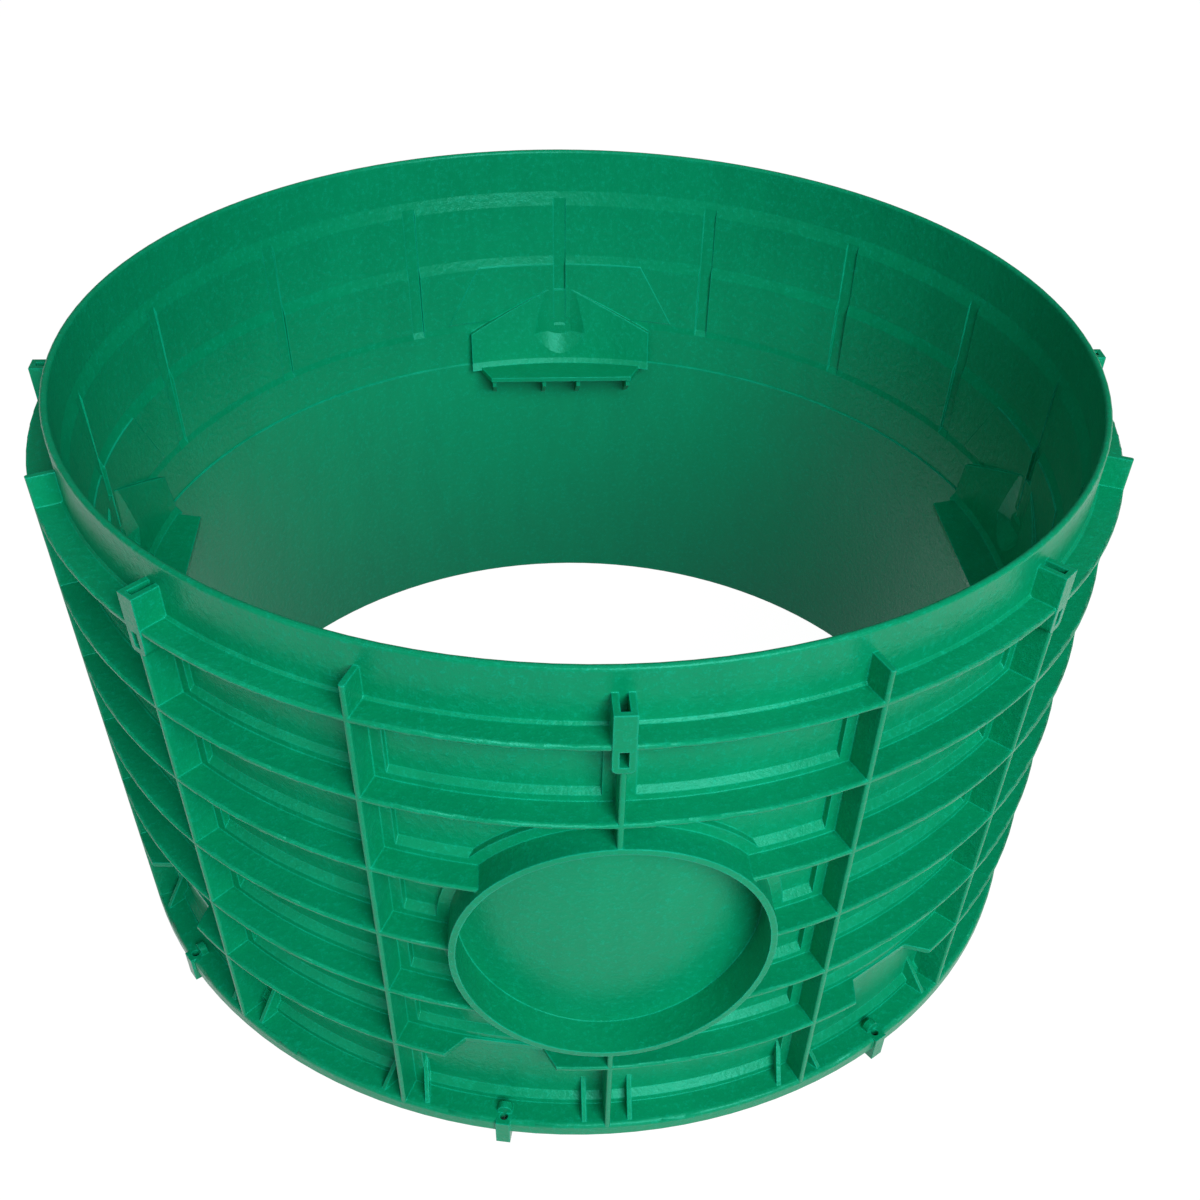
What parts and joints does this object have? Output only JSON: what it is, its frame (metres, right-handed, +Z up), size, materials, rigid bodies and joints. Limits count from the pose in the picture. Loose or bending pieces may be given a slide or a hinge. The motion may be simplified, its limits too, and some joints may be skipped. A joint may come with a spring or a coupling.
{
  "type": "septic tank riser",
  "caption": "Stackable round access riser ring in ribbed green plastic, with a capped pipe port in its side, strap brackets, screw lugs and inner shelves.",
  "frame": {"origin": "on the ring's axis, at the lower edge of the spigot", "axes": "+Z up along the ring's axis, the pipe port faces -Y"},
  "size_m": [0.553, 0.553, 0.3188],
  "materials": {
    "green_plastic": "moulded polypropylene, fine grain, semi-gloss"
  },
  "bodies": {
    "root": {"riser": "green_plastic"}
  },
  "joints": []
}
